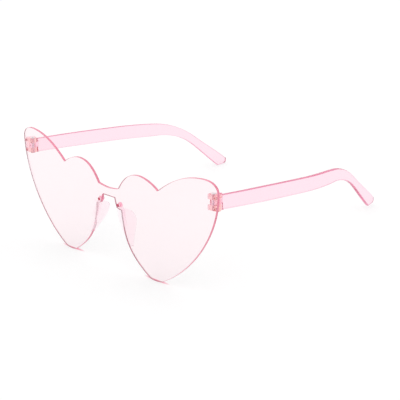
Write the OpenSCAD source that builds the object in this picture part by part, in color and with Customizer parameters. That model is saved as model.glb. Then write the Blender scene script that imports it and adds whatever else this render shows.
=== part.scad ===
// Rimless heart-shaped sunglasses, standing on the heart tips and a temple tip.
// Sizes are in millimetres. The front faces -Y and the wearer's left is +X.
// The pieces are drawn upright, with the lens's middle plane at X = 0, its front
// face at Y = 0 and the heart tips at Z = 0, and are then leaned back onto the table.

/* [Lens] */
// Width of the front across both hearts
front_w = 148; // [138:1:158]
// Height of a heart from its tip to the top of its outer lobe
heart_h = 60.5; // [56:0.1:66]
// Thickness of the clear sheet
lens_t = 1.4; // [1:0.1:2]
// Radius that the sheet is bent to, seen from above
curve_r = 668; // [500:1:900]
// Width of the bridge's top edge, from heart to heart
bridge_w = 15; // [12:0.1:18]
// Height of the bridge's top edge, as a share of a heart's height
bridge_up = 0.699; // [0.67:0.001:0.73]
// Height of the bridge
bridge_h = 4.5; // [4:0.1:7]
// How far the bridge's top edge sags in the middle
bridge_sag = 0.9; // [0.2:0.1:1.5]

/* [Nose pads] */
// Width of the nose gap at the bridge's underside
nose_w = 9.2; // [8:0.1:10]
// Width of the nose gap at the top of the pads
pad_gap_w = 12.6; // [11:0.1:13]
// Height of the top of the pads, as a share of a heart's height
pad_up = 0.54; // [0.52:0.005:0.56]
// Width of a pad's root in the lens's recess
pad_root_w = 3.2; // [2.5:0.1:4]
// Thickness of a pad's wing
pad_wing_t = 1.7; // [1.2:0.1:2.2]
// How far a wing reaches back behind the lens's front face
pad_reach = 9.3; // [7:0.1:10]
// Width of a pad's root at its lower end
pad_edge_w = 0.5; // [0.4:0.05:0.8]
// Width of the lip that a pad lays behind the lens's inner side
pad_lip_w = 0.8; // [0.5:0.1:1.2]
// Angle that a wing spreads outward
pad_splay = 14; // [10:1:28]
// Radius of the peg that holds a pad in the lens
pad_peg_r = 0.8; // [0.6:0.05:1]
// Radius of the ear that carries the peg
pad_ear_r = 1.4; // [1.2:0.05:1.8]
// Thickness of the ear behind the lens
pad_ear_t = 1.2; // [0.8:0.1:2]
// Distance of the peg from the recess's upper corner, outward
pad_peg_x = 1.1; // [1:0.1:1.6]
// Distance of the peg from the recess's upper corner, upward
pad_peg_z = 1.7; // [1.1:0.1:1.8]

/* [Hinges] */
// Distance of the hinge screw in from the end of the front
hinge_inset = 4.8; // [4.4:0.1:5.5]
// Height of the hinge's middle, as a share of a heart's height
hinge_up = 0.82; // [0.79:0.001:0.83]
// Height of a hinge block
block_h = 7.9; // [7.6:0.1:10]
// Thickness of the temple's tongue
tongue_t = 2.8; // [2:0.1:3.2]
// Radius of a knuckle of the hinge block
knuckle_r = 2; // [1.9:0.05:2.2]
// Radius of the tongue's round end
tongue_r = 1.85; // [1.7:0.05:2]
// Radius of the screw's shank
screw_r = 0.7; // [0.5:0.05:0.8]
// Radius of the screw's head
head_r = 1.2; // [1.1:0.05:1.4]
// Height of the screw's head
head_h = 0.8; // [0.5:0.1:1]
// How far the head stands above the block
head_proud = 0.2; // [0.1:0.05:0.3]
// How far a block stays in from the end of the front
block_inset = 0.8; // [0.6:0.1:1.2]
// How far a block's outer corner reaches behind the hinge screw
block_back = 3; // [2.4:0.1:3.6]
// Radius of the pegs that hold a block in the lens
block_peg_r = 0.75; // [0.6:0.05:0.9]

/* [Temples] */
// How far a temple's middle starts below the hinge's middle
root_low = 0.6; // [0:0.1:0.8]
// Height of a temple where it meets the hinge
root_h = 7.5; // [7:0.1:8.2]
// Height of a temple along its straight part
arm_h = 8; // [7:0.1:9]
// Height of a temple at its neck, over the ear
neck_h = 4.9; // [4:0.1:6]
// Height of a temple at its tip
tip_h = 6.9; // [6.5:0.1:9]
// Thickness of a temple
temple_t = 2.2; // [1.8:0.1:2.8]
// Angle that a temple's straight part falls towards the rear
arm_fall = 7; // [3:0.1:8]
// Length from the hinge screw to the start of the bend
arm_l = 95.8; // [80:0.1:100]
// Angle of the bend over the ear
bend = 32.7; // [25:0.1:40]
// Radius of the bend over the ear
bend_r = 52; // [42:0.1:60]
// Length from the end of the bend to the lower corner of the tip
drop_l = 27.1; // [24:0.1:36]
// Radius of the tip's lower corner
toe_r = 1.2; // [0.8:0.1:2]
// Radius of the tip's rear corner
heel_r = 2.2; // [1.5:0.1:3]
// How far the rear corner lies beyond the lower one, along the temple
heel_l = 2.2; // [1.5:0.1:4]
// How far a temple starts outboard of the hinge screw
root_out = 1; // [0.8:0.1:1.2]
// How far a temple bows outboard of the hinge screw
bow_out = 3.2; // [2:0.1:4]
// How far a temple's tip lies inboard of the hinge screw
tip_in = 9.4; // [6:0.1:14]
// Angle that the left temple stands turned in at its hinge
left_turn = 3; // [-2.2:0.1:10]
// Angle that the right temple stands turned in at its hinge
right_turn = -2.2; // [-2.2:0.1:10]
// Angle that the left temple stands raised, within the play of its hinge
left_rise = 0.6; // [0:0.1:1]

/* [Hidden] */

lens_pink = [1, 0.72, 0.78, 0.5];
moulded_pink = [1, 0.55, 0.7, 0.8];
pad_pink = [1, 0.66, 0.78, 0.7];
steel = [0.75, 0.75, 0.77];

$fn = 48;
sheet_fn = 720;
// Film of glue between a seated piece and the lens
glue = 0.03;
// Play of a peg in its hole
peg_play = 0.02;
// Radial play of the tongue on the screw
turn_play = 0.05;
// Play between the tongue and the knuckles above and below it
side_play = 0.1;
// Room between the turning tongue or temple and the block
swing_room = 0.2;
// Overrun of every cut and of every shape that another one trims
over = 1;

// Curves: points 1 to n of a cubic curve, so that curves can follow one another
function bez_at(p, t) = p[0] * pow(1 - t, 3) + p[1] * 3 * t * pow(1 - t, 2)
    + p[2] * 3 * t * t * (1 - t) + p[3] * pow(t, 3);
function bez(p, n) = [for (i = [1:n]) bez_at(p, i / n)];
function arc(c, r, a0, a1, n) = [for (i = [0:n]) let (a = a0 + (a1 - a0) * i / n) c + r * [cos(a), sin(a)]];
function back_to_front(list) = [for (i = [len(list) - 1:-1:0]) list[i]];
function ease(t) = (1 - cos(180 * max(0, min(1, t)))) / 2;
function blend(a, b, t) = a + (b - a) * ease(t);

// The heart, as shares of its width from the bridge outward and of its height
heart_w = (front_w - bridge_w) / 2;
bridge_z = bridge_up * heart_h;
pad_top_z = pad_up * heart_h;
hinge_z = hinge_up * heart_h;
temple_z = hinge_z - root_low;
function heart(u, v) = [bridge_w / 2 + u * heart_w, v * heart_h];
inner_rise_shares = [[0.058, 0.814], [0.116, 0.883], [0.23, 0.883]];
inner_fall_shares = [[0.292, 0.883], [0.381, 0.843], [0.425, 0.8]];
outer_rise_shares = [[0.546, 0.91], [0.689, 1], [0.87, 1]];
shoulder_shares = [[0.962, 1], [1, 0.952], [1, 0.9]];
outer_side_shares = [[1, 0.545], [0.75, 0.185], [0.469, 0.019]];
tip_shares = [[0.435, -0.002], [0.353, -0.013], [0.305, 0.025]];
inner_side_shares = [[0.097, 0.178], [0.055, 0.296]];
function heart_curve(start, shares, n) = bez(concat([start], [for (s = shares) heart(s[0], s[1])]), n);
function last_of(shares) = heart(shares[len(shares) - 1][0], shares[len(shares) - 1][1]);

// The corner under the bridge and the recess that a nose pad sits in
bridge_top = [bridge_w / 2, bridge_z + bridge_sag];
nose_top = [nose_w / 2, bridge_z - bridge_h];
recess_corner = [pad_gap_w / 2, pad_top_z];
recess_root = recess_corner + [pad_root_w, -0.22 * pad_root_w];
// The lens's inner side, from the recess down to the heart's tip
inner_side = concat([recess_root], [for (s = back_to_front(inner_side_shares)) heart(s[0], s[1])],
    [last_of(tip_shares)]);

// Outline of the left heart from the middle of the bridge round to its underside
heart_outline = concat(
    [[0, bridge_z], [bridge_top[0] / 2, bridge_z + bridge_sag * 0.4], bridge_top],
    heart_curve(bridge_top, inner_rise_shares, 20),
    heart_curve(last_of(inner_rise_shares), inner_fall_shares, 12),
    heart_curve(last_of(inner_fall_shares), outer_rise_shares, 24),
    heart_curve(last_of(outer_rise_shares), shoulder_shares, 18),
    heart_curve(last_of(shoulder_shares), outer_side_shares, 36),
    heart_curve(last_of(outer_side_shares), tip_shares, 14),
    bez(back_to_front(inner_side), 30),
    [recess_corner],
    bez([recess_corner, recess_corner + [-0.15, 0.35] * bridge_h, nose_top - [0, 0.2] * bridge_h,
        nose_top], 8),
    [[0, nose_top[1]]]);
function mirrored(half) = [for (i = [len(half) - 2:-1:1]) [-half[i][0], half[i][1]]];

// How far back the bent sheet's front face lies at a distance x from the middle
function bend_depth(x) = curve_r - sqrt(curve_r * curve_r - x * x);
sheet_depth = bend_depth(front_w / 2) + lens_t;

// The hinge screw's axis: a knuckle just touches the back of the lens
hinge_x = front_w / 2 - hinge_inset;
hinge_y = bend_depth(hinge_x) + lens_t + glue + knuckle_r;
shoulder_y = block_back + swing_room;
slot_h = tongue_t + 2 * side_play;
block_out = hinge_inset - block_inset;
block_peg_x = block_out - 1.6 * block_peg_r;

// A temple's side: s runs along its middle line from the hinge screw, and up is square to it
bend_l = bend_r * bend * PI / 180;
toe_s = arm_l + bend_l + drop_l;
heel_s = toe_s + heel_l;
function fall_at(s) = arm_fall + bend * max(0, min(1, (s - arm_l) / bend_l));
function along(s, a) = s * [cos(a), -sin(a)];
bend_centre = along(arm_l, arm_fall) - bend_r * [sin(arm_fall), cos(arm_fall)];
function middle_at(s) =
    s < arm_l ? along(s, arm_fall)
    : bend_centre + bend_r * [sin(fall_at(s)), cos(fall_at(s))] + along(max(0, s - arm_l - bend_l), fall_at(s));
function side_at(s, up) = middle_at(s) + up * [sin(fall_at(s)), cos(fall_at(s))];
// Heights along a temple, as shares of the length to the toe
root_end_share = 0.28;
neck_start_share = 0.548;
neck_share = 0.814;
function height_at(s) = let (q = s / toe_s)
    q < neck_start_share ? blend(root_h, arm_h, q / root_end_share)
    : q < neck_share ? blend(arm_h, neck_h, (q - neck_start_share) / (neck_share - neck_start_share))
    : blend(neck_h, tip_h, (q - neck_share) / (1 - neck_share));
drop_a = 90 - arm_fall - bend;
temple_steps = 80;
toe_c = side_at(toe_s, toe_r - tip_h / 2);
heel_c = side_at(heel_s, tip_h / 2 - heel_r);
flat_a = -90 + atan2(heel_c[1] - toe_c[1], heel_c[0] - toe_c[0]) + asin((toe_r - heel_r) / norm(heel_c - toe_c));
temple_side = concat(
    [for (i = [0:temple_steps]) let (s = heel_s * i / temple_steps) side_at(s, height_at(s) / 2)],
    arc(heel_c, heel_r, drop_a, flat_a, 12),
    arc(toe_c, toe_r, flat_a, drop_a - 180, 6),
    [for (i = [temple_steps:-1:0]) let (s = toe_s * i / temple_steps) side_at(s, -height_at(s) / 2)]);

// A temple's plan: outward and rearward of the hinge screw, along its middle
reach = heel_c[0] + heel_r + over;
bow_share = 0.447;
plan_middle = concat(
    [[root_out, shoulder_y]],
    bez([[root_out, shoulder_y], [(root_out + bow_out) / 2, 0.12 * reach], [bow_out, 0.25 * reach],
        [bow_out, bow_share * reach]], 16),
    bez([[bow_out, bow_share * reach], [bow_out, 0.59 * reach], [-0.64 * tip_in, 0.79 * reach],
        [-tip_in, reach]], 32));

// The lean: the line from the heart tips that just touches the temples from below
tip_low = min([for (p = heart_outline) p[1]]);
tip_x = [for (p = heart_outline) if (p[1] == tip_low) p[0]][0];
tip_back = bend_depth(tip_x) + lens_t;
lean = min([for (p = temple_side) atan2(p[1] + temple_z - tip_low, p[0] + hinge_y - tip_back)]);
function leaned(y, z) = [y * cos(lean) + z * sin(lean), z * cos(lean) - y * sin(lean)];
front_end = min([for (p = heart_outline) leaned(bend_depth(p[0]), p[1])[0]]);
rear_end = max([for (p = temple_side) leaned(p[0] + hinge_y, p[1] + temple_z)[0]]);
floor_z = leaned(tip_back, tip_low)[1];

module standing() translate([0, -(front_end + rear_end) / 2, -floor_z]) rotate([-lean, 0, 0]) children();
module on_side(side) mirror([side == "right" ? 1 : 0, 0, 0]) children();
module at_hinge() translate([hinge_x, hinge_y, hinge_z]) children();

// A shape in the front view, from y0 back to y1, and one in the side view, from x0 to x1
module front_view(points, y0, y1) translate([0, y1, 0]) rotate([90, 0, 0])
    linear_extrude(height = y1 - y0) polygon(points);
module side_view(points, x0, x1) translate([x0, 0, 0]) rotate([90, 0, 90])
    linear_extrude(height = x1 - x0) polygon(points);
// All the space behind the bent sheet's front face moved back by depth
module behind(depth) translate([0, curve_r, -over])
    cylinder(r = curve_r - depth, h = heart_h + 2 * over, $fn = sheet_fn);
// A round peg from front to back along Y
module peg(x, z, r, y0, y1) translate([x, y1, z]) rotate([90, 0, 0]) cylinder(r = r, h = y1 - y0);

pad_peg_at = recess_corner + [pad_peg_x, pad_peg_z];
block_peg_z = (block_h + slot_h) / 4;

module lens_holes(side) on_side(side) {
    peg(pad_peg_at[0], pad_peg_at[1], pad_peg_r + peg_play, -over, sheet_depth + over);
    for (z = [-block_peg_z, block_peg_z])
        peg(hinge_x + block_peg_x, hinge_z + z, block_peg_r + peg_play, -over, sheet_depth + over);
}

module heart_lens() color(lens_pink) standing() difference() {
    intersection() {
        front_view(concat(heart_outline, mirrored(heart_outline)), -over, sheet_depth + over);
        behind(0);
    }
    behind(lens_t);
    lens_holes("left");
    lens_holes("right");
}

// The screw's shape about its axis, wider by play and longer by more at both ends
module screw_shape(play, more) rotate_extrude() polygon([[0, -block_h / 2 - more],
    [screw_r + play, -block_h / 2 - more], [screw_r + play, block_h / 2 + head_proud - head_h],
    [head_r + play, block_h / 2 + head_proud - head_h], [head_r + play, block_h / 2 + head_proud + more],
    [0, block_h / 2 + head_proud + more]]);

// One hinge block: two knuckles on a slanted outer wall, and a peg into the lens from each
block_steps = 4;
block_front = [for (i = [0:block_steps]) let (x = block_out - (block_out + knuckle_r) * i / block_steps)
    [x, bend_depth(hinge_x + x) + lens_t + glue - hinge_y]];
block_plan = concat(block_front, arc([0, 0], knuckle_r, 180, 90, 12),
    [[root_out + temple_t / 2, block_back], [block_out, 0]]);
wall_x = tongue_r + swing_room;
module hinge_block(side) color(moulded_pink) standing() on_side(side) {
    at_hinge() difference() {
        translate([0, 0, -block_h / 2]) linear_extrude(height = block_h) polygon(block_plan);
        translate([wall_x - 3 * knuckle_r, -3 * knuckle_r, -slot_h / 2])
            cube([3 * knuckle_r, 6 * knuckle_r, slot_h]);
        screw_shape(peg_play, over);
    }
    for (z = [-block_peg_z, block_peg_z])
        peg(hinge_x + block_peg_x, hinge_z + z, block_peg_r, bend_depth(hinge_x + block_peg_x),
            hinge_y - block_peg_r);
}

// A steel screw with a slotted head, down through both knuckles and the tongue between them
slot_w = 0.25 * head_r;
module hinge_screw(side) color(steel) standing() on_side(side) at_hinge() difference() {
    screw_shape(0, 0);
    translate([-head_r - over, -slot_w / 2, block_h / 2 + head_proud - 0.4 * head_h])
        cube([2 * (head_r + over), slot_w, head_h]);
}

// One temple: its side view and its plan trimmed to each other, with the tongue at its front
neck_plan = [[-tongue_r, 0], [tongue_r, 0], [tongue_r, shoulder_y + over],
    [root_out - temple_t / 2, shoulder_y + 2 * temple_t]];
module temple(side) color(moulded_pink) standing() on_side(side) at_hinge()
    rotate(side == "left" ? [left_rise, 0, left_turn] : [0, 0, right_turn]) difference() {
    union() {
        intersection() {
            translate([0, 0, -root_low])
                side_view(temple_side, -tip_in - temple_t - over, bow_out + temple_t + over);
            translate([0, 0, -hinge_z]) linear_extrude(height = hinge_z + arm_h) polygon(concat(
                [for (p = plan_middle) p - [temple_t / 2, 0]],
                [for (p = back_to_front(plan_middle)) p + [temple_t / 2, 0]]));
        }
        translate([0, 0, -tongue_t / 2]) {
            cylinder(r = tongue_r, h = tongue_t);
            linear_extrude(height = tongue_t) polygon(neck_plan);
        }
    }
    translate([0, 0, -tongue_t]) cylinder(r = screw_r + turn_play, h = 2 * tongue_t);
}

// One nose pad: a wing that reaches back and outward from the lens's recess, a plate with an
// ear behind the lens, and a peg. The wing's face is a curve down the nose gap.
pad_low_share = 0.53;
pad_low = bez_at(inner_side, pad_low_share);
pad_drop = pad_top_z - pad_low[1];
pad_face = [recess_corner, recess_corner + [0.005, -0.335] * pad_drop,
    recess_corner + [0.243, -0.714] * pad_drop, pad_low - [pad_edge_w, 0]];
pad_y = bend_depth(pad_low[0] + pad_lip_w) + lens_t + glue;
pad_foot = pad_y + pad_ear_t;
pad_steps = 16;
function pad_line(dx) = [for (i = [0:pad_steps]) let (f = bez_at(pad_face, i / pad_steps)) [f[0] + dx, f[1]]];
// How far the wing reaches at a share t of its length, with its fullest place above the middle
bulge_share = 0.58;
fullness_share = 1.3;
function reach_at(t) = pad_foot
    + (pad_reach - pad_foot) * pow(sin(180 * pow(t, bulge_share)), fullness_share);
pad_side = concat(
    [for (i = [0:pad_steps]) [reach_at(i / pad_steps), bez_at(pad_face, i / pad_steps)[1] - glue]],
    [[bend_depth(pad_low[0]), pad_low[1]], [bend_depth(recess_corner[0]), pad_top_z - glue]]);
// The band that the wing is cut from, before it is turned outward about the middle
function splayed(points) = [for (p = points) [p[0] * cos(pad_splay), p[1]]];
// The lens's inner side over the pad's length, moved by dx
function lens_line(dx) = [for (i = [0:pad_steps]) let (q = bez_at(inner_side, i / pad_steps)) [q[0] + dx, q[1]]];
pad_plate = concat(
    arc(pad_peg_at, pad_ear_r, 180, 0, 12),
    [for (i = [0:pad_steps]) bez_at(inner_side, pad_low_share * i / pad_steps) + [pad_lip_w, 0]],
    back_to_front(pad_line(pad_wing_t / 2)));
module nose_pad(side) color(pad_pink) standing() on_side(side) {
    difference() {
        intersection() {
            rotate([0, 0, -pad_splay]) front_view(splayed(concat(pad_line(0),
                back_to_front(pad_line(pad_wing_t)))), -pad_reach, 2 * pad_reach);
            side_view(pad_side, 0, 2 * pad_reach);
        }
        front_view(concat([recess_corner + [-over, over], recess_corner + [-over, -glue],
            recess_root - [glue, glue]], lens_line(-glue), [[heart_w, 0], [heart_w, pad_top_z + over]]),
            -over, pad_y);
    }
    front_view(pad_plate, pad_y + glue, pad_foot);
    peg(pad_peg_at[0], pad_peg_at[1], pad_peg_r, bend_depth(pad_peg_at[0]), pad_y + pad_ear_t / 2);
}

heart_lens();
hinge_block("left");  // hinge_block_left
hinge_block("right");  // hinge_block_right
hinge_screw("left");  // hinge_screw_left
hinge_screw("right");  // hinge_screw_right
temple("left");  // temple_left
temple("right");  // temple_right
nose_pad("left");  // nose_pad_left
nose_pad("right");  // nose_pad_right
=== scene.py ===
"""Looks for the heart-shaped sunglasses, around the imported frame. Metres, in the part's frame."""
import math

import bmesh
import bpy
import numpy as np
from mathutils import Matrix, Vector
from mathutils.geometry import delaunay_2d_cdt


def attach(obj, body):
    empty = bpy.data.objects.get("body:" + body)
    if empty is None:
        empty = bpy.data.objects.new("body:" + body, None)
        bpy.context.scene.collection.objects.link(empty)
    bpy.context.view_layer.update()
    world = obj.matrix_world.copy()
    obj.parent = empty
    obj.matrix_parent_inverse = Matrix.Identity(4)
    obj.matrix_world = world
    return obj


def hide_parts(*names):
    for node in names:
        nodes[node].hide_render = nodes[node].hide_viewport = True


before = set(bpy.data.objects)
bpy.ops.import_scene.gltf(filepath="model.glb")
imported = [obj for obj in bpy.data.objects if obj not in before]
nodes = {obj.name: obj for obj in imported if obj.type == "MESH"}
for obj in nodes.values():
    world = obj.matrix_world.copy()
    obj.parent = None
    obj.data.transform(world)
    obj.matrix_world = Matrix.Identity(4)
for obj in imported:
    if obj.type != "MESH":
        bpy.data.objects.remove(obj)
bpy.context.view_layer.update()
scene = bpy.context.scene
MM = 0.001

# Camera: where the photograph was taken from, and the three directions of its picture
EYE = Vector((0.44362, -0.44467, 0.252034))
PICTURE_RIGHT = Vector((0.708734, 0.704458, -0.037888))
PICTURE_DOWN = Vector((0.225278, -0.276885, -0.934123))
INTO_PICTURE = Vector((-0.668541, 0.653509, -0.354936))
FOCAL_MM, SENSOR_MM, SHIFT_X, SHIFT_Y = 108.09, 36, 0.0008, -0.00125
CLIP_NEAR, CLIP_FAR = 0.01, 20

# The part's own sizes, in millimetres, in the upright frame that it is drawn in
FRONT_W, HEART_H, LENS_T, CURVE_R = 148, 60.5, 1.4, 668
BRIDGE_W, BRIDGE_H, BRIDGE_SAG = 15, 4.5, 0.9
BRIDGE_Z, PAD_TOP_Z, HINGE_Z = 0.699 * HEART_H, 0.54 * HEART_H, 0.82 * HEART_H
NOSE_W, PAD_GAP_W, PAD_ROOT_W = 9.2, 12.6, 3.2
HINGE_X, HINGE_Y = 69.2, 7.02398
ROOT_LOW, ROOT_H, ARM_H, NECK_H, TIP_H, TEMPLE_T = 0.6, 7.5, 8, 4.9, 6.9, 2.2
ARM_FALL, ARM_L, BEND, BEND_R, DROP_L = 7, 95.8, 32.7, 52, 27.1
TOE_R, HEEL_R, HEEL_L = 1.2, 2.2, 2.2
ROOT_OUT, BOW_OUT, TIP_IN, SHOULDER_Y = 1, 3.2, 9.4, 3.2
TURN = {"left": 3, "right": -2.2}
RISE = {"left": 0.6, "right": 0}
LEAN, FRONT_END, REAR_END, FLOOR_Z = 2.15388, 0.579356, 154.72, -0.0919241
BEND_L = BEND_R * math.radians(BEND)
TOE_S = ARM_L + BEND_L + DROP_L
HEEL_S = TOE_S + HEEL_L

# The heart's outline from the bridge on, as cubic curves: two inner points and an end each, in shares of
# the heart's width, counted from the bridge, and of its height
HEART_CURVES = (
    ((0.058, 0.814), (0.116, 0.883), (0.23, 0.883)),      # up to the top of the inner lobe
    ((0.292, 0.883), (0.381, 0.843), (0.425, 0.8)),       # down to the notch
    ((0.546, 0.91), (0.689, 1), (0.87, 1)),               # up to the top of the outer lobe
    ((0.962, 1), (1, 0.952), (1, 0.9)),                   # round the shoulder
    ((1, 0.545), (0.75, 0.185), (0.469, 0.019)),          # down the outer side
    ((0.435, -0.002), (0.353, -0.013), (0.305, 0.025)),   # round the tip
)
INNER_SIDE = ((0.097, 0.178), (0.055, 0.296))             # inner points on the way up to the pad's root
PAD_ROOT_FALL = -0.22                                     # slope of the short edge above a pad's root
GAP_PULLS = ((-0.15, 0.35), (0, 0.2))                     # inner points of the nose gap, in bridge heights
SAG_POWER = 1.5
BRIDGE_STEPS, ROOT_STEPS, GAP_STEPS, OUTLINE_STEP = 14, 6, 8, 0.6

# Pegs of the pads and blocks go through holes in the sheet: their places, and the radius of each hole
PAD_PEG, HINGE_PEG_X, HINGE_PEG_UP = (7.4, 34.37), 72, 2.725
HOLES = {PAD_PEG: 0.82,
         (HINGE_PEG_X, HINGE_Z - HINGE_PEG_UP): 0.77,
         (HINGE_PEG_X, HINGE_Z + HINGE_PEG_UP): 0.77}
HOLE_STEPS = 28

# The sheet's edge is painted lighter beside the pads, a painted lightening of the dark refraction line
# there, and on the right heart's outer side, a painted highlight. Each pair says where the fade starts and
# ends.
PAD_EDGE_LIGHT_X, PAD_EDGE_LIGHT_TOP_Z = (5.8, 17), PAD_TOP_Z + 0.5
PAD_EDGE_LIGHT_Z = {"left": (23, 25), "right": (15, 17)}
SIDE_HIGHLIGHT, SIDE_HIGHLIGHT_X, SIDE_HIGHLIGHT_Z = 0.75, (-58, -70), (52, 46)

# A temple's height and its bow seen from above change at these shares of its length
ARM_FULL, NECK_START, NECK_AT = 0.28, 0.548, 0.814
BOW_PULLS, BOW_AT, TIP_PULLS, TIP_PULL_IN = (0.12, 0.25), 0.447, (0.59, 0.79), 0.64
# Points along its edges. Those at the shoulder keep further apart than its rounding is wide.
SIDE_STEPS, HEEL_STEPS, TOE_STEPS, SHOULDER_STEPS, SHOULDER_CLEAR = 150, 12, 8, 9, 0.8

# The tongue at the temple's root, round the screw, and the brace that joins it to the arm
TONGUE_R, TONGUE_H, SCREW_HOLE_R, ROUND_STEPS = 1.85, 2.8, 0.75, 24
BRACE = ((1.85, 1.4), (1.85, 2.8), (1.85, 4.2), (0.9, 5.6),
         (0.1, 5.2), (-0.5, 4.0), (-1.1, 2.6), (-1.6, 1.2))

# Plates: the radius of their rounded edges, the band beside the rounding, and the distance between the
# points inside, whose rows lie as in a lattice of even triangles and keep clear of the edges
SHEET_EDGE, SHEET_BAND, SHEET_GRID, SHEET_BAND_RIM = 0.12, 0.12, 3.2, 0.7
TEMPLE_EDGE, TEMPLE_EDGE_STEPS, TEMPLE_GRID = 0.65, 5, 3.5
TONGUE_EDGE, TONGUE_GRID = 0.12, 2.5
EDGE_BAND, ROW_PITCH, SPOT_CLEAR, SAME_POINT = 0.03, 0.87, 0.45, 1e-7
# Keeps a very sharp corner of an outline from running far into the material when it is drawn in
MITRE_LIMIT = 0.3

# Nose pads, with the radii between which the mark of a pad's peg fades, and hinge blocks and screws
PAD_WELD, PAD_VOXEL, PAD_SMOOTHINGS, PEG_SPOT = 0.001, 0.17, 14, (0.9, 1.8)
BLOCK_BEVEL, SCREW_BEVEL, BEVEL_ANGLE = 0.15, 0.05, 35
EVEN_WEIGHT = 80

# Plastics: how much the cut edge is roughened, the tool marks' range about that, where its scattering is
# in full, the ripple's strength and height, and the tint of the painted light where the edge is painted
# paler
SATIN, TOOL_MARKS, SCATTER_FULL = 0.3, (0.55, 1.45), 1.15
RIPPLE, RIPPLE_H = 0.05, 0.4
PAINTED_PALE_EDGE = (1, 0.84, 0.89)
STEEL_TONE, STEEL_ROUGH = (0.82, 0.95), (0.3, 0.5)

# The table: two thin pink streaks of painted shadow lie on it under the heart tips, from x to x at one y
STREAKS, STREAK_Y, STREAK_W = ((22.5, 42.5), (-43, -23)), -75.3, 1.3
STREAK_TINT, STREAK_CORE = (0.9, 0.3, 0.42), 0.35
FLOOR_R, FLOOR_SIDES, FLOOR_MATT, FLOOR_GLOW = 4, 96, 0.36, 0.67


def standing(p):
    """From the upright frame in millimetres to the part's frame in metres."""
    x, y, z = p
    c, s = math.cos(math.radians(LEAN)), math.sin(math.radians(LEAN))
    return Vector((x, y * c + z * s - (FRONT_END + REAR_END) / 2, z * c - y * s - FLOOR_Z)) * MM


def upright(p):
    """From the part's frame in metres back to the upright frame in millimetres."""
    c, s = math.cos(math.radians(LEAN)), math.sin(math.radians(LEAN))
    y, z = p.y / MM + (FRONT_END + REAR_END) / 2, p.z / MM + FLOOR_Z
    return Vector((p.x / MM, y * c - z * s, y * s + z * c))


# Curves and loops of points
def bez(p, t):
    """The point of a cubic curve at t, from 0 to 1."""
    p = [np.array(q, float) for q in p]
    return p[0] * (1 - t) ** 3 + p[1] * 3 * t * (1 - t) ** 2 + p[2] * 3 * t * t * (1 - t) + p[3] * t ** 3


def bez_line(p, step):
    """Points along a cubic curve about one step apart, without its first point."""
    size = sum(np.linalg.norm(bez(p, (i + 1) / 20) - bez(p, i / 20)) for i in range(20))
    n = max(2, round(size / step))
    return [bez(p, (i + 1) / n) for i in range(n)]


def straight(a, b, n):
    """Points along a line in n equal steps, without its first point."""
    return [a + (b - a) * i / n for i in range(1, n + 1)]


def arc(c, r, a0, a1, n):
    """Points along an arc, from angle a0 to a1 in degrees in n equal steps."""
    angles = [math.radians(a0 + (a1 - a0) * i / n) for i in range(n + 1)]
    return [np.array(c, float) + r * np.array([math.cos(a), math.sin(a)]) for a in angles]


def fade(value, start, end):
    """0 before start, 1 beyond end, and an eased change between them."""
    t = max(0, min(1, (value - start) / (end - start)))
    return (1 - math.cos(math.pi * t)) / 2


def area(loop):
    """The area inside a loop, below zero when it runs clockwise."""
    a = np.array(loop)
    b = np.roll(a, -1, 0)
    return ((a[:, 0] * b[:, 1] - b[:, 0] * a[:, 1]).sum()) / 2


def inside(points, loop):
    """Which points lie inside a closed loop."""
    p, a = np.array(points, float), np.array(loop, float)
    b = np.roll(a, -1, 0)
    found = np.zeros(len(p), bool)
    for (x0, y0), (x1, y1) in zip(a, b):
        if y0 != y1:
            crosses = (p[:, 1] < y0) != (p[:, 1] < y1)
            found ^= crosses & (p[:, 0] < (x1 - x0) * (p[:, 1] - y0) / (y1 - y0) + x0)
    return found


def drawn_in(loop, by):
    """A loop moved to its left by a distance, into the material."""
    a = np.array(loop, float)
    ahead, behind = np.roll(a, -1, 0) - a, a - np.roll(a, 1, 0)
    n1 = np.stack([-ahead[:, 1], ahead[:, 0]], 1) / np.linalg.norm(ahead, axis=1)[:, None]
    n2 = np.stack([-behind[:, 1], behind[:, 0]], 1) / np.linalg.norm(behind, axis=1)[:, None]
    mitre = (n1 + n2) / np.maximum(MITRE_LIMIT, 1 + (n1 * n2).sum(1))[:, None]
    return a + mitre * by


# Plates
def within(faces, walls):
    """The numbers of the triangles on the left of the walls, and of all that no wall parts from them."""
    sides = [list(zip(f, f[1:] + f[:1])) for f in faces]
    owner = {e: n for n, edges in enumerate(sides) for e in edges}
    shut, found, todo = set(walls), set(), [owner[e] for e in walls]
    while todo:
        n = todo.pop()
        if n not in found:
            found.add(n)
            todo += [owner[b, a] for a, b in sides[n] if (a, b) not in shut]
    return sorted(found)


def triangulated(loops, grid, name):
    """Fills the first loop, but not the others, which are its holes. Gives the points added inside and the
    triangles, whose corners are numbered through the loops' points and then the added ones."""
    points = [tuple(q) for loop in loops for q in loop]
    walls, at = [], 0
    for loop in loops:
        walls += [(at + i, at + (i + 1) % len(loop)) for i in range(len(loop))]
        at += len(loop)
    low, high = np.min(loops[0], 0), np.max(loops[0], 0)
    spots = [(low[0] + grid * i + grid * 0.5 * (j % 2), low[1] + grid * ROW_PITCH * j)
             for j in range(1, int((high[1] - low[1]) / grid / ROW_PITCH) + 1)
             for i in range(1, int((high[0] - low[0]) / grid) + 1)]
    if spots:
        usable = inside(spots, loops[0])
        for hole in loops[1:]:
            usable &= ~inside(spots, hole)
        rims, clear = np.array(points), (SPOT_CLEAR * grid) ** 2
        spots = [s for s, ok in zip(spots, usable) if ok and ((rims - s) ** 2).sum(1).min() > clear]
    # Output type 0 gives all triangles out to the hull of the points, and within() picks the plate's
    made = delaunay_2d_cdt([Vector(p) for p in points + spots], walls, [], 0, SAME_POINT, True)
    assert len(made[0]) == len(points) + len(spots), name
    source = [ids[0] for ids in made[3]]
    faces = [[source[i] for i in f] for f in made[2]]
    return spots, [faces[n] for n in within(faces, walls)]


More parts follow.
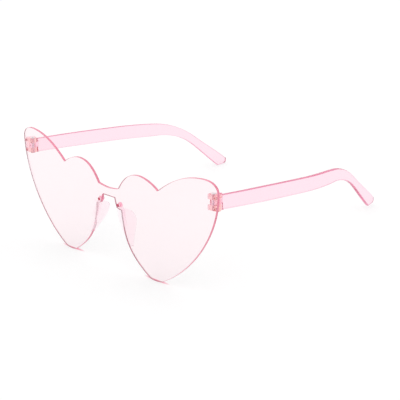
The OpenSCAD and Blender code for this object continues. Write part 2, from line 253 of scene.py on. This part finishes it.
def rounded_plate(name, outline, holes, place, radius, grid, steps=3, band=EDGE_BAND, edge=0.0,
                  paleness=None):
    """A closed plate: place(u, v, side, depth) puts a point of the outline's plane at a depth below its
    front (side 0) or its back (side 1). All edges are rounded to radius. The mesh keeps rim, which marks
    the cut edge and starts at edge in a band beside it, and pale, where the edge is painted paler as painted
    light."""
    loops = [outline if area(outline) > 0 else outline[::-1]]
    loops += [h if area(h) < 0 else h[::-1] for h in holes]
    insets = [radius + band] + [radius + EDGE_BAND] * len(holes)
    bm = bmesh.new()
    rim, pale = bm.verts.layers.float.new("rim"), bm.verts.layers.float.new("pale")
    # Rows of rings, from the flat of the front over its rounding to the back's: None is the flat
    turns = [None] + [math.pi / 2 * k / steps for k in range(steps + 1)]
    rows = []
    for k, turn in enumerate(turns + turns[::-1]):
        side = 0 if k < len(turns) else 1
        row = []
        for n, loop in enumerate(loops):
            inset, depth = insets[n], 0
            if turn is not None:
                inset, depth = radius * (1 - math.sin(turn)), radius * (1 - math.cos(turn))
            ring = []
            for p, q in zip(loop, drawn_in(loop, inset)):
                v = bm.verts.new(place(q[0], q[1], side, depth))
                v[rim] = 0 if turn is None or n else edge + (1 - edge) * math.sin(turn) ** 2
                v[pale] = paleness(p) if paleness else 0
                ring.append(v)
            row.append(ring)
        rows.append(row)
    for upper, lower in zip(rows, rows[1:]):
        for a, b in zip(upper, lower):
            for i in range(len(a)):
                j = (i + 1) % len(a)
                bm.faces.new((a[i], a[j], b[j], b[i]))
    spots, faces = triangulated([drawn_in(loop, inset) for loop, inset in zip(loops, insets)], grid, name)
    for side, row in ((0, rows[0]), (1, rows[-1])):
        verts = [v for ring in row for v in ring]
        verts += [bm.verts.new(place(s[0], s[1], side, 0)) for s in spots]
        for f in faces:
            corners = [verts[i] for i in f]
            bm.faces.new(corners if side == 0 else corners[::-1])
    return finished(name, bm)


def shade_smooth(mesh):
    """Smooth shading on every face."""
    for p in mesh.polygons:
        p.use_smooth = True


def finished(name, bm):
    """The object of a new mesh."""
    bmesh.ops.recalc_face_normals(bm, faces=bm.faces)
    mesh = bpy.data.meshes.new(name)
    bm.to_mesh(mesh)
    bm.free()
    shade_smooth(mesh)
    obj = bpy.data.objects.new(name, mesh)
    scene.collection.objects.link(obj)
    return obj


def modify(obj, kind, **settings):
    """Adds a modifier, with its settings by name."""
    made = obj.modifiers.new(kind.lower(), kind)
    for key, value in settings.items():
        setattr(made, key, value)


def soft_normals(obj):
    """Keeps broad faces flat and turns the shading within the roundings."""
    modify(obj, "WEIGHTED_NORMAL", mode="FACE_AREA", weight=EVEN_WEIGHT)


def apply_modifiers(obj):
    """Makes the modified shape the object's own mesh."""
    depsgraph = bpy.context.evaluated_depsgraph_get()
    mesh = bpy.data.meshes.new_from_object(obj.evaluated_get(depsgraph))
    obj.modifiers.clear()
    obj.data = mesh
    shade_smooth(mesh)


def take_material(obj, material):
    """Gives an object one material in place of all it has."""
    obj.data.materials.clear()
    obj.data.materials.append(material)


# Materials
def new_material(name):
    """An empty material, its node tree and its output."""
    material = bpy.data.materials.new(name)
    material.use_nodes = True
    tree = material.node_tree
    tree.nodes.clear()
    return material, tree, tree.nodes.new("ShaderNodeOutputMaterial")


def feed(socket, value):
    """Links another node's output to an input, or sets the input's own value."""
    if isinstance(value, bpy.types.NodeSocket):
        socket.id_data.links.new(value, socket)
    else:
        socket.default_value = value


def add(tree, kind, *terms, **settings):
    """A node. Terms fill its inputs in order, and settings by name, with their blanks as underscores."""
    made = tree.nodes.new("ShaderNode" + kind)
    for key in ("operation", "attribute_name", "data_type"):
        if key in settings:
            setattr(made, key, settings.pop(key))
    for socket, value in zip(made.inputs, terms):
        feed(socket, value)
    for key, value in settings.items():
        feed(made.inputs[key.replace("_", " ")], value)
    return made


def noise(tree, place, **settings):
    """Noise over a place, from 0 to 1."""
    return add(tree, "TexNoise", Vector=place, **settings).outputs["Fac"]


def mapped(tree, value, **settings):
    """A value carried from one range to another."""
    return add(tree, "MapRange", Value=value, **settings).outputs["Result"]


def joined(tree, operation, *values):
    """All values taken together, two at a time."""
    total = values[0]
    for value in values[1:]:
        total = add(tree, "Math", total, value, operation=operation).outputs["Value"]
    return total


def mixed(tree, share, low, high):
    """Two colours mixed, each a triple or another node's output. The Mix node's inputs 6 and 7 take them."""
    made = add(tree, "Mix", share, data_type="RGBA")
    for number, colour in ((6, low), (7, high)):
        feed(made.inputs[number], (*colour, 1) if isinstance(colour, tuple) else colour)
    return made.outputs[2]


def clear_plastic(name, dye, density, face, rim, matt=0, rough=(0.012, 0.05), ior=1.49):
    """Dyed clear plastic: dye colours it by the depth that light goes through, and face at each surface.
    Where the mesh is marked rim, a satin cut edge lets the trapped light out and tints it, and matt is the
    share of it that scatters. Where the mesh is marked pale, the edge is painted paler, as painted light."""
    material, tree, out = new_material(name)
    place = add(tree, "TexCoord").outputs["Object"]
    cut = add(tree, "Attribute", attribute_name="rim").outputs["Fac"]
    # Painted light: the pale mark paints the edge paler beside the pads and as a highlight on the right
    # heart's outer side
    painted_lightening = add(tree, "Attribute", attribute_name="pale").outputs["Fac"]
    # Handling marks: faint cloudy patches in the polish
    clouds = noise(tree, place, Scale=90.0, Detail=4.0, Roughness=0.6)
    gloss = mapped(tree, clouds, From_Min=0.4, From_Max=0.8, To_Min=rough[0], To_Max=rough[1])
    # Moulding ripple, about two centimetres long and only microns high
    waves = noise(tree, place, Scale=45.0, Detail=1.5)
    bump = add(tree, "Bump", Strength=RIPPLE, Distance=RIPPLE_H * MM, Height=waves)
    # The cut edge: tool marks along it vary its haze
    marks = noise(tree, place, Scale=700.0, Detail=3.0)
    vary = mapped(tree, marks, To_Min=TOOL_MARKS[0] * SATIN, To_Max=TOOL_MARKS[1] * SATIN)
    haze = joined(tree, "MULTIPLY", cut, vary)
    clear = mapped(tree, haze, From_Max=SCATTER_FULL * SATIN, To_Min=1.0, To_Max=1 - matt) if matt else 1.0
    body = add(tree, "BsdfPrincipled", IOR=ior, Transmission_Weight=clear, Normal=bump.outputs["Normal"],
               Roughness=joined(tree, "ADD", gloss, haze),
               Base_Color=mixed(tree, painted_lightening, mixed(tree, cut, face, rim), PAINTED_PALE_EDGE))
    depth = add(tree, "VolumeAbsorption", Density=density, Color=(*dye, 1))
    feed(out.inputs["Surface"], body.outputs["BSDF"])
    feed(out.inputs["Volume"], depth.outputs["Volume"])
    return material


def screw_steel():
    """Turned steel, whose fine grain varies its tone and its gloss."""
    material, tree, out = new_material("turned_steel")
    place = add(tree, "TexCoord").outputs["Object"]
    grain = noise(tree, place, Scale=2500.0, Detail=3.0)
    tone = mapped(tree, grain, To_Min=STEEL_TONE[0], To_Max=STEEL_TONE[1])
    colour = add(tree, "CombineColor", Red=tone, Green=tone, Blue=tone)
    body = add(tree, "BsdfPrincipled", Metallic=1.0, Base_Color=colour.outputs["Color"],
               Roughness=mapped(tree, grain, To_Min=STEEL_ROUGH[0], To_Max=STEEL_ROUGH[1]))
    feed(out.inputs["Surface"], body.outputs["BSDF"])
    return material


lens_plastic = clear_plastic("lens_plastic", dye=(0.985, 0.38, 0.5), density=32, face=(1, 0.935, 0.95),
                             rim=(0.95, 0.3, 0.43), matt=0.95)
temple_plastic = clear_plastic("temple_plastic", dye=(0.99, 0.25, 0.57), density=60, face=(1, 0.87, 0.92),
                               rim=(0.97, 0.46, 0.62))
# A low index keeps dark refraction lines off the small pieces, as in the photo
pad_plastic = clear_plastic("pad_plastic", dye=(0.99, 0.3, 0.5), density=50, face=(1, 0.96, 0.98),
                            rim=(1, 0.38, 0.54), rough=(0.15, 0.25), ior=1.1)
block_plastic = clear_plastic("block_plastic", dye=(1, 0.4, 0.15), density=110, face=(1, 0.78, 0.88),
                              rim=(1, 0.5, 0.5), rough=(0.08, 0.2), ior=1.2)
steel = screw_steel()


# The clear sheet
def heart_outline(step):
    """The front's outline, from the middle of the bridge round the left heart and back over the right."""
    wide = (FRONT_W - BRIDGE_W) / 2

    def at(u, v):
        return np.array([BRIDGE_W / 2 + u * wide, v * HEART_H])

    n = BRIDGE_STEPS
    half = [np.array([BRIDGE_W / 2 * i / n, BRIDGE_Z + BRIDGE_SAG * (i / n) ** SAG_POWER])
            for i in range(n + 1)]
    for curve in HEART_CURVES:
        half += bez_line([half[-1]] + [at(*s) for s in curve], step)
    corner = np.array([PAD_GAP_W / 2, PAD_TOP_Z])
    root = corner + np.array([1, PAD_ROOT_FALL]) * PAD_ROOT_W
    half += bez_line([half[-1]] + [at(*s) for s in INNER_SIDE] + [root], step)
    half += straight(root, corner, ROOT_STEPS)
    nose = np.array([NOSE_W / 2, BRIDGE_Z - BRIDGE_H])
    pulls = [corner + np.array(GAP_PULLS[0]) * BRIDGE_H, nose - np.array(GAP_PULLS[1]) * BRIDGE_H]
    half += bez_line([corner, *pulls, nose], step)
    half += [np.array([nose[0] * (1 - i / GAP_STEPS), nose[1]]) for i in range(1, GAP_STEPS + 1)]
    return half + [np.array([-q[0], q[1]]) for q in reversed(half[1:-1])]


def bend_depth(x, r=CURVE_R):
    """How far a bent face of radius r lies behind the middle of the sheet's front."""
    return CURVE_R - math.sqrt(r * r - x * x)


def make_lens():
    """Both hearts and the bridge: one bent sheet with six holes."""
    def place(u, v, side, depth):
        y = bend_depth(u) + depth if side == 0 else bend_depth(u, CURVE_R - LENS_T) - depth
        return standing((u, y, v))

    # Painted light: the cut edge is painted paler beside the pads, over the dark refraction line, and as a
    # highlight on the right heart's outer side
    def paleness(p):
        x, z = p
        if PAD_EDGE_LIGHT_X[0] < abs(x) < PAD_EDGE_LIGHT_X[1] and z < PAD_EDGE_LIGHT_TOP_Z:
            return fade(z, *PAD_EDGE_LIGHT_Z["left" if x > 0 else "right"])
        return SIDE_HIGHLIGHT * fade(x, *SIDE_HIGHLIGHT_X) * fade(z, *SIDE_HIGHLIGHT_Z)

    holes = []
    for (x, z), r in HOLES.items():
        for side in (1, -1):
            holes.append([np.array([side * x, z]) + r * np.array([math.cos(a), math.sin(a)])
                          for a in np.linspace(0, 2 * math.pi, HOLE_STEPS, endpoint=False)])
    lens = rounded_plate("heart_sheet", heart_outline(OUTLINE_STEP), holes, place, SHEET_EDGE, SHEET_GRID,
                         band=SHEET_BAND, edge=SHEET_BAND_RIM, paleness=paleness)
    take_material(lens, lens_plastic)
    soft_normals(lens)
    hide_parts("heart_lens")
    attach(lens, "front")


# The temples. S is a length along the temple's middle line, from the hinge screw.
def fall_at(s):
    """The angle by which the middle line falls."""
    return math.radians(ARM_FALL + BEND * max(0, min(1, (s - ARM_L) / BEND_L)))


def side_at(s, up):
    """A point of the side view, up from the middle line."""
    a0, a = math.radians(ARM_FALL), fall_at(s)
    reach = min(s, ARM_L)
    p = np.array([reach * math.cos(a0), -reach * math.sin(a0)])
    if s > ARM_L:
        p += BEND_R * np.array([math.sin(a) - math.sin(a0), math.cos(a) - math.cos(a0)])
        p += max(0, s - ARM_L - BEND_L) * np.array([math.cos(a), -math.sin(a)])
    return p + up * np.array([math.sin(a), math.cos(a)])


def height_at(s):
    """The height of the side view across the middle line."""
    q = s / TOE_S
    if q < NECK_START:
        return ROOT_H + (ARM_H - ROOT_H) * fade(q, 0, ARM_FULL)
    if q < NECK_AT:
        return ARM_H + (NECK_H - ARM_H) * fade(q, NECK_START, NECK_AT)
    return NECK_H + (TIP_H - NECK_H) * fade(q, NECK_AT, 1)


def temple_outline():
    """The side view, rearward and up from the hinge screw, and how far to the rear it reaches."""
    toe, heel = side_at(TOE_S, TOE_R - TIP_H / 2), side_at(HEEL_S, TIP_H / 2 - HEEL_R)
    drop = 90 - ARM_FALL - BEND
    d = heel - toe
    flat = -90 + math.degrees(math.atan2(d[1], d[0]) + math.asin((TOE_R - HEEL_R) / np.linalg.norm(d)))
    n = SIDE_STEPS
    upper = [side_at(HEEL_S * i / n, height_at(HEEL_S * i / n) / 2) for i in range(n)]
    lower = [side_at(TOE_S * i / n, -height_at(TOE_S * i / n) / 2) for i in range(n - 1, -1, -1)]
    heel_arc = arc(heel, HEEL_R, drop, flat, HEEL_STEPS)
    toe_arc = arc(toe, TOE_R, flat, drop - 180, TOE_STEPS)
    line = [p for p in upper + heel_arc + toe_arc + lower if p[0] > SHOULDER_Y + SHOULDER_CLEAR]
    low, high = np.array([SHOULDER_Y, line[-1][1]]), np.array([SHOULDER_Y, line[0][1]])
    return [low] + straight(low, high, SHOULDER_STEPS) + line, heel[0] + HEEL_R + 1


def temple_plan(reach):
    """The middle line from above, outward and rearward: bowed out to BOW_AT, then in to the tip."""
    root, bow = (ROOT_OUT, SHOULDER_Y), (BOW_OUT, BOW_AT * reach)
    leave = ((ROOT_OUT + BOW_OUT) / 2, BOW_PULLS[0] * reach)
    plan = [np.array(root)] + bez_line([root, leave, (BOW_OUT, BOW_PULLS[1] * reach), bow], 1)
    turn_in = (-TIP_PULL_IN * TIP_IN, TIP_PULLS[1] * reach)
    plan += bez_line([bow, (BOW_OUT, TIP_PULLS[0] * reach), turn_in, (-TIP_IN, reach)], 1)
    return np.array(plan)


def make_temple(side):
    """One moulding: arm, bend, tip, and the tongue round the hinge screw."""
    outline, reach = temple_outline()
    plan = temple_plan(reach)
    turn = Matrix.Rotation(math.radians(TURN[side]), 3, "Z")
    turn = turn @ Matrix.Rotation(math.radians(RISE[side]), 3, "X")
    hand = 1 if side == "left" else -1

    def local(x, y, z):
        """From the hinge screw outward, rearward and up, turned in and set in the part's frame."""
        q = turn @ Vector((x, y, z))
        return standing((hand * (HINGE_X + q.x), HINGE_Y + q.y, HINGE_Z + q.z))

    def blade(u, v, face, depth):
        middle = float(np.interp(u, plan[:, 1], plan[:, 0]))
        off = TEMPLE_T / 2 - depth
        return local(middle + (off if face == 0 else -off), u, v - ROOT_LOW)

    def flat(u, v, face, depth):
        z = TONGUE_H / 2 - depth
        return local(u, v, z if face == 0 else -z)

    body = rounded_plate("temple_arm_" + side, outline, [], blade, TEMPLE_EDGE, TEMPLE_GRID,
                         steps=TEMPLE_EDGE_STEPS)
    shape = arc((0, 0), TONGUE_R, 180, 360, ROUND_STEPS) + [np.array(p) for p in BRACE]
    hole = arc((0, 0), SCREW_HOLE_R, 0, 360 - 360 / ROUND_STEPS, ROUND_STEPS - 1)
    tongue = rounded_plate("tongue", shape, [hole], flat, TONGUE_EDGE, TONGUE_GRID)
    modify(body, "BOOLEAN", operation="UNION", solver="EXACT", object=tongue)
    apply_modifiers(body)
    bpy.data.objects.remove(tongue)
    take_material(body, temple_plastic)
    soft_normals(body)
    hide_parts("temple_" + side)
    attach(body, side + "_temple")


def make_pad(side):
    """A soft moulding around the part's plain nose pad."""
    pad = bpy.data.objects.new("nose_pad_moulding_" + side, nodes["nose_pad_" + side].data.copy())
    scene.collection.objects.link(pad)
    bm = bmesh.new()
    bm.from_mesh(pad.data)
    bmesh.ops.remove_doubles(bm, verts=bm.verts, dist=PAD_WELD * MM)
    bm.to_mesh(pad.data)
    bm.free()
    modify(pad, "REMESH", mode="VOXEL", voxel_size=PAD_VOXEL * MM)
    modify(pad, "SMOOTH", factor=0.5, iterations=PAD_SMOOTHINGS)
    apply_modifiers(pad)
    # The peg's end shows through the sheet as a deeper spot
    peg_x = PAD_PEG[0] if side == "left" else -PAD_PEG[0]
    mark = pad.data.attributes.new("rim", "FLOAT", "POINT")
    for v, m in zip(pad.data.vertices, mark.data):
        p = upright(v.co)
        m.value = 1 - fade(math.hypot(p.x - peg_x, p.z - PAD_PEG[1]), *PEG_SPOT)
    take_material(pad, pad_plastic)
    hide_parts("nose_pad_" + side)
    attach(pad, "front")


def dress(name, material, edge):
    """Gives a CAD node its material and a small rounding on its edges."""
    obj = nodes[name]
    take_material(obj, material)
    shade_smooth(obj.data)
    modify(obj, "BEVEL", width=edge * MM, segments=3, limit_method="ANGLE",
           angle_limit=math.radians(BEVEL_ANGLE), use_clamp_overlap=False, harden_normals=True)


# The studio
def make_floor():
    """The white table."""
    bpy.ops.mesh.primitive_circle_add(vertices=FLOOR_SIDES, radius=FLOOR_R, fill_type="NGON")
    floor = bpy.context.object
    floor.name = "floor"
    material, tree, out = new_material("floor_white")
    # Painted shadow: a thin pink streak on the table under each heart tip, standing in for the shade and
    # dyed light that the tips cast there
    place = add(tree, "TexCoord").outputs["Object"]
    streaks = []
    for x0, x1 in STREAKS:
        middle, half = ((x0 + x1) / 2 * MM, STREAK_Y * MM, 0), ((x1 - x0) / 2 * MM, STREAK_W * MM, 1)
        away = add(tree, "VectorMath", place, middle, operation="SUBTRACT")
        away = add(tree, "VectorMath", away.outputs["Vector"], half, operation="DIVIDE")
        far = add(tree, "VectorMath", away.outputs["Vector"], operation="LENGTH")
        streaks.append(mapped(tree, far.outputs["Value"], From_Min=STREAK_CORE, To_Min=1.0, To_Max=0.0))
    painted_streak_shadow = joined(tree, "ADD", *streaks)
    # Both the floor's matt and its glow take the painted pink shadow
    matt, glow = (mixed(tree, painted_streak_shadow, (level,) * 3, tuple(level * c for c in STREAK_TINT))
                  for level in (FLOOR_MATT, FLOOR_GLOW))
    # What the camera, gloss and glass see is lifted to white and keeps the object's shadow
    lifted = add(tree, "AddShader", add(tree, "BsdfDiffuse", Color=matt).outputs["BSDF"],
                 add(tree, "Emission", Color=glow).outputs["Emission"])
    ray = add(tree, "LightPath")
    seen = joined(tree, "MAXIMUM", ray.outputs["Is Camera Ray"], ray.outputs["Is Glossy Ray"],
                  ray.outputs["Is Transmission Ray"])
    plain = add(tree, "BsdfDiffuse")
    mix = add(tree, "MixShader", seen, plain.outputs["BSDF"], lifted.outputs["Shader"])
    feed(out.inputs["Surface"], mix.outputs["Shader"])
    floor.data.materials.append(material)


def make_light():
    """Even white light from all round."""
    world = bpy.data.worlds.new("studio")
    scene.world = world
    world.use_nodes = True
    back = world.node_tree.nodes["Background"]
    back.inputs["Color"].default_value = (1, 1, 1, 1)
    back.inputs["Strength"].default_value = 1.0


def make_camera():
    """The photograph's camera."""
    data = bpy.data.cameras.new("camera")
    data.lens, data.sensor_width = FOCAL_MM, SENSOR_MM
    data.shift_x, data.shift_y = SHIFT_X, SHIFT_Y
    data.clip_start, data.clip_end = CLIP_NEAR, CLIP_FAR
    camera = bpy.data.objects.new("camera", data)
    scene.collection.objects.link(camera)
    turned = Matrix((PICTURE_RIGHT, -PICTURE_DOWN, -INTO_PICTURE)).transposed()
    camera.matrix_world = Matrix.Translation(EYE) @ turned.to_4x4()
    scene.camera = camera


make_camera()
make_lens()
for side in ("left", "right"):
    make_temple(side)
    make_pad(side)
    dress("hinge_block_" + side, block_plastic, BLOCK_BEVEL)
    dress("hinge_screw_" + side, steel, SCREW_BEVEL)
make_floor()
make_light()
scene.view_settings.view_transform = "Standard"
# Light runs many times up and down inside the clear sheet before it leaves by the cut edge
scene.cycles.max_bounces = 64
scene.cycles.glossy_bounces = 56
scene.cycles.diffuse_bounces = 16
scene.cycles.transmission_bounces = 56
